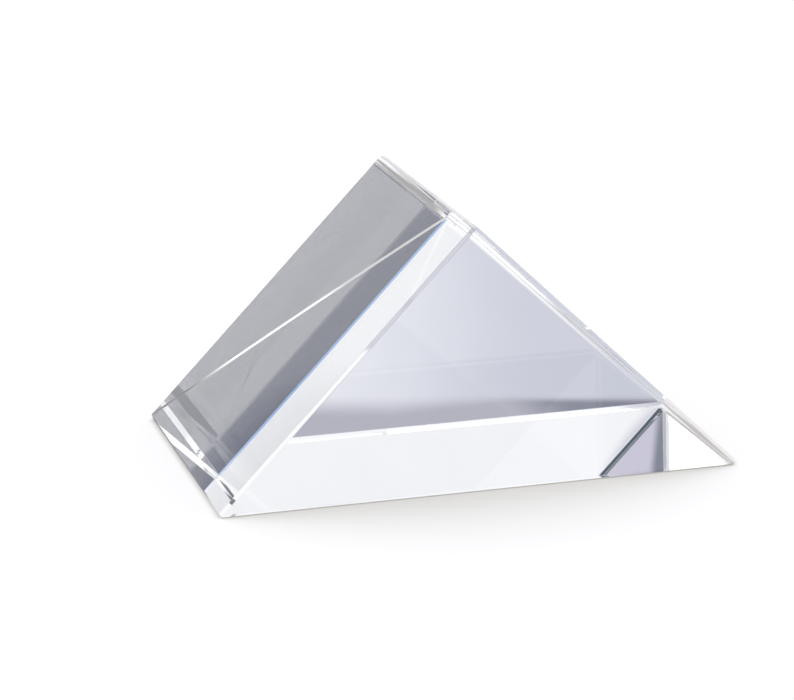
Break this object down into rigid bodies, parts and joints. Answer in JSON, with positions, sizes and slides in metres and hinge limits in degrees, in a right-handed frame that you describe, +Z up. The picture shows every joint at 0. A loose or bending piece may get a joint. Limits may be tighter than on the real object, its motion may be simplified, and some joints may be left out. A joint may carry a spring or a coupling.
{
  "type": "right angle prism",
  "caption": "Clear glass right angle prism, a 45-90-45 triangular block with polished faces and bevelled edges, for turning or reversing a beam of light.",
  "frame": {"origin": "centre of the hypotenuse face, which lies on Z = 0", "axes": "+X along the hypotenuse, +Y along the prism's length to the far end face, +Z up to the right angled roof edge"},
  "size_m": [0.0528, 0.038, 0.0266],
  "materials": {
    "optical_glass": "clear and colourless, large faces optically polished, narrow edge bevels finely ground and polished"
  },
  "bodies": {
    "root": {"prism_block": "optical_glass"}
  },
  "joints": []
}
